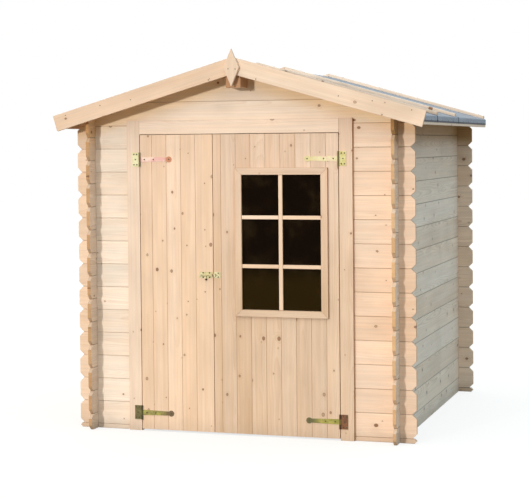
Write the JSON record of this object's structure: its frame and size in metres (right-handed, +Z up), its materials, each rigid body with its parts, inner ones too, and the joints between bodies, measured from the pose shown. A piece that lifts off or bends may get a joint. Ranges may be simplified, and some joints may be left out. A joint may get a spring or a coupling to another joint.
{
  "type": "garden shed",
  "caption": "Garden shed of planed softwood boards crossed and interlocked at the corners, with a low felted gable roof, a double plank door with a barred window and tee hinges.",
  "frame": {"origin": "middle of the overall box, on the ground that the walls stand on", "axes": "+Z up, the door faces -Y, +X to the right of someone who looks at the door"},
  "size_m": [2.216, 2.131, 2.2054],
  "materials": {
    "wall_boards": "planed, untreated",
    "roof_timber": "sawn, untreated",
    "roof_battens": "sawn, weathered",
    "roof_felt": "mineral-faced bitumen felt, matt",
    "trim_boards": "planed, untreated",
    "door_boards": "planed, untreated",
    "window_glass": "clear",
    "zinc_hardware": "yellow zinc plated, worn"
  },
  "bodies": {
    "shed": {"front_wall_left": "wall_boards", "front_wall_right": "wall_boards", "front_wall_over_door": "wall_boards", "front_gable": "wall_boards", "back_wall": "wall_boards", "back_gable": "wall_boards", "left_wall": "wall_boards", "right_wall": "wall_boards", "ridge_purlin": "roof_timber", "left_roof_boards": "roof_timber", "right_roof_boards": "roof_timber", "left_eave_strip": "roof_timber", "right_eave_strip": "roof_timber", "left_roof_battens": "roof_battens", "right_roof_battens": "roof_battens", "left_roof_felt": "roof_felt", "right_roof_felt": "roof_felt", "left_bargeboard": "trim_boards", "right_bargeboard": "trim_boards", "ridge_finial": "trim_boards", "left_door_casing": "trim_boards", "right_door_casing": "trim_boards", "door_head": "trim_boards", "left_top_hinge_plate": "zinc_hardware", "left_low_hinge_plate": "zinc_hardware", "right_top_hinge_plate": "zinc_hardware", "right_low_hinge_plate": "zinc_hardware"},
    "left_leaf": {"left_leaf": "door_boards", "left_leaf_ledges": "door_boards", "left_top_hinge_strap": "zinc_hardware", "left_low_hinge_strap": "zinc_hardware", "bolt_guide": "zinc_hardware"},
    "right_leaf": {"right_leaf": "door_boards", "right_leaf_ledges": "door_boards", "window_casing": "trim_boards", "window_glass": "window_glass", "window_bead": "trim_boards", "right_top_hinge_strap": "zinc_hardware", "right_low_hinge_strap": "zinc_hardware", "bolt_keeper": "zinc_hardware"},
    "bolt": {"bolt_rod": "zinc_hardware"}
  },
  "joints": [
    {"name": "left_leaf_hinge", "type": "hinge", "parent": "shed", "child": "left_leaf", "pos_m": [-0.6125, -0.933, 0.845], "axis": [0, 0, -1], "range_deg": [0, 160]},
    {"name": "right_leaf_hinge", "type": "hinge", "parent": "shed", "child": "right_leaf", "pos_m": [0.5825, -0.933, 0.845], "axis": [0, 0, 1], "range_deg": [0, 160]},
    {"name": "bolt_slide", "type": "slide", "parent": "left_leaf", "child": "bolt", "axis": [1, 0, 0], "range_m": [0, 0.022]}
  ]
}
